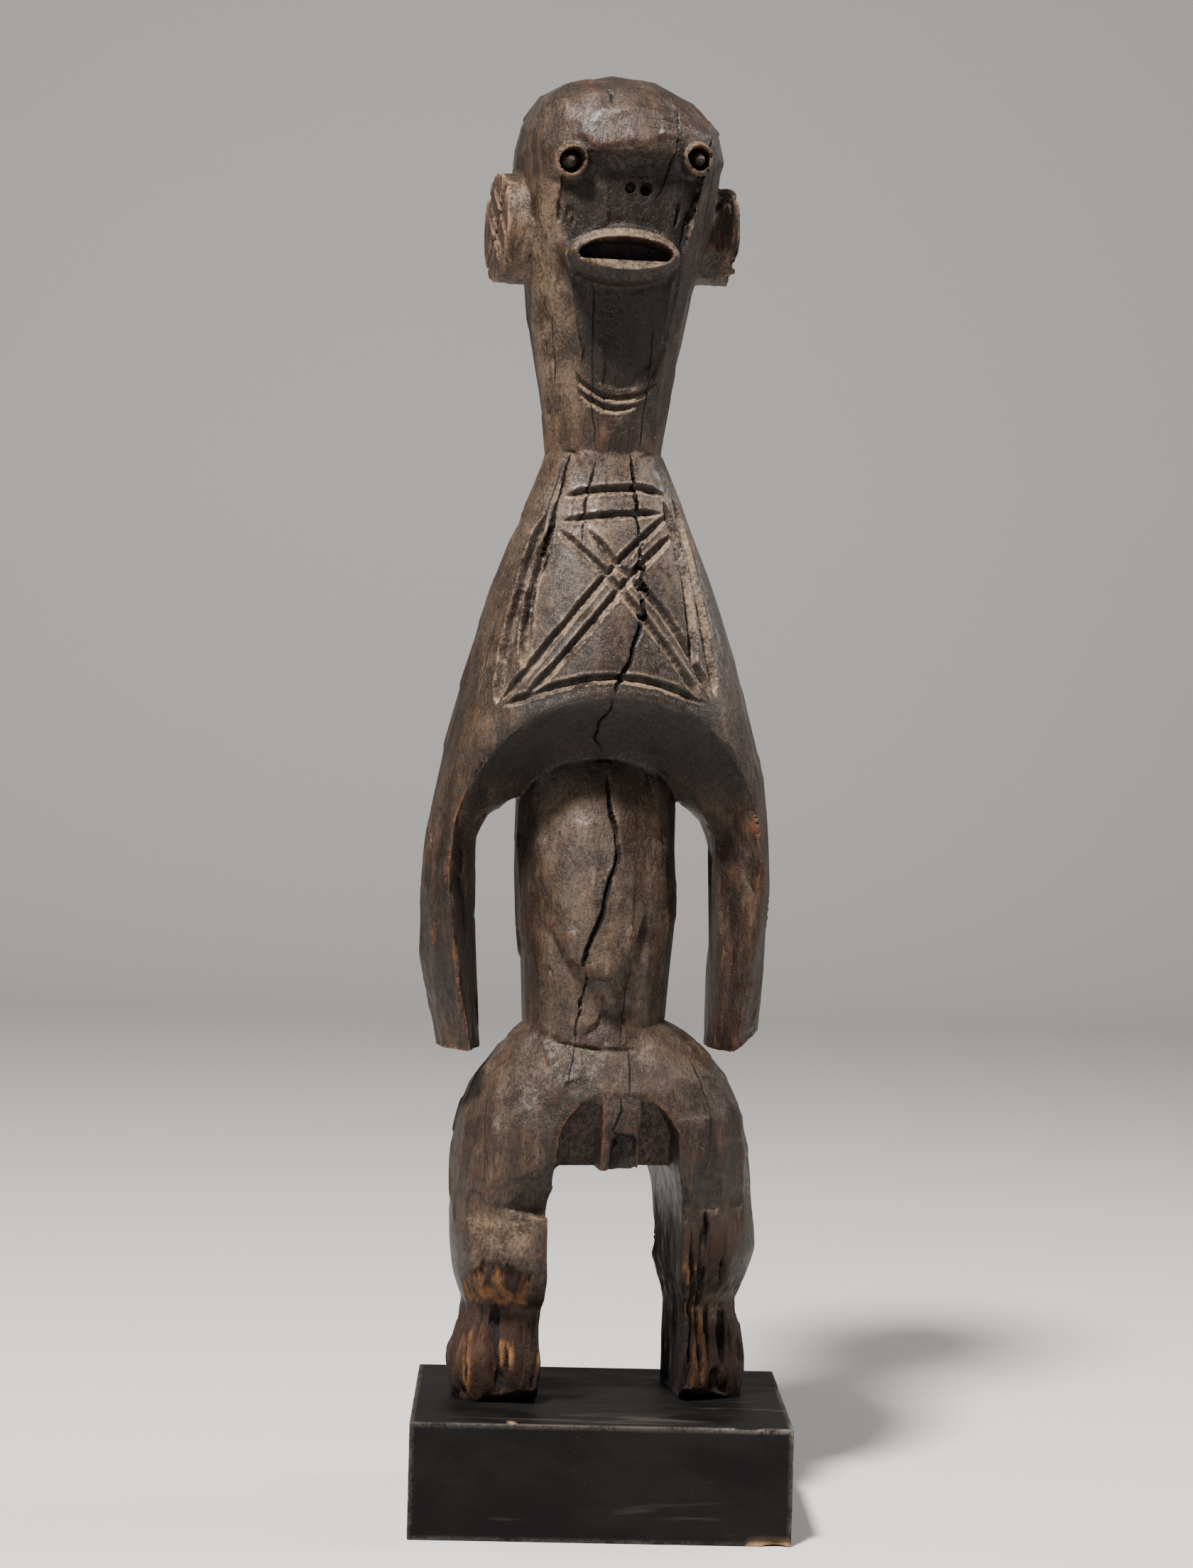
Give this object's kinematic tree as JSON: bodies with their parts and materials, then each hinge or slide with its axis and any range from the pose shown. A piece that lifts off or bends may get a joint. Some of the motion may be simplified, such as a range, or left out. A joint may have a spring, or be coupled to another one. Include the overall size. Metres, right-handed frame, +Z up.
{
  "type": "mumuye figure",
  "caption": "Standing figure carved from one log, with a long neck, disc ears, arms cut free of the trunk and short bent legs, on a low block.",
  "frame": {"origin": "centre of the block's underside, on the surface that it stands on", "axes": "+Z up along the figure, +X to the right as seen from the front, and the block's front face looks along -Y"},
  "size_m": [0.1432, 0.105, 0.5409],
  "materials": {
    "figure": "old dark patina with a waxy sheen on the high places, dusty in the cuts",
    "plinth": "matt black paint, rubbed at the edges"
  },
  "bodies": {
    "root": {"figure": "figure", "plinth": "plinth"}
  },
  "joints": []
}
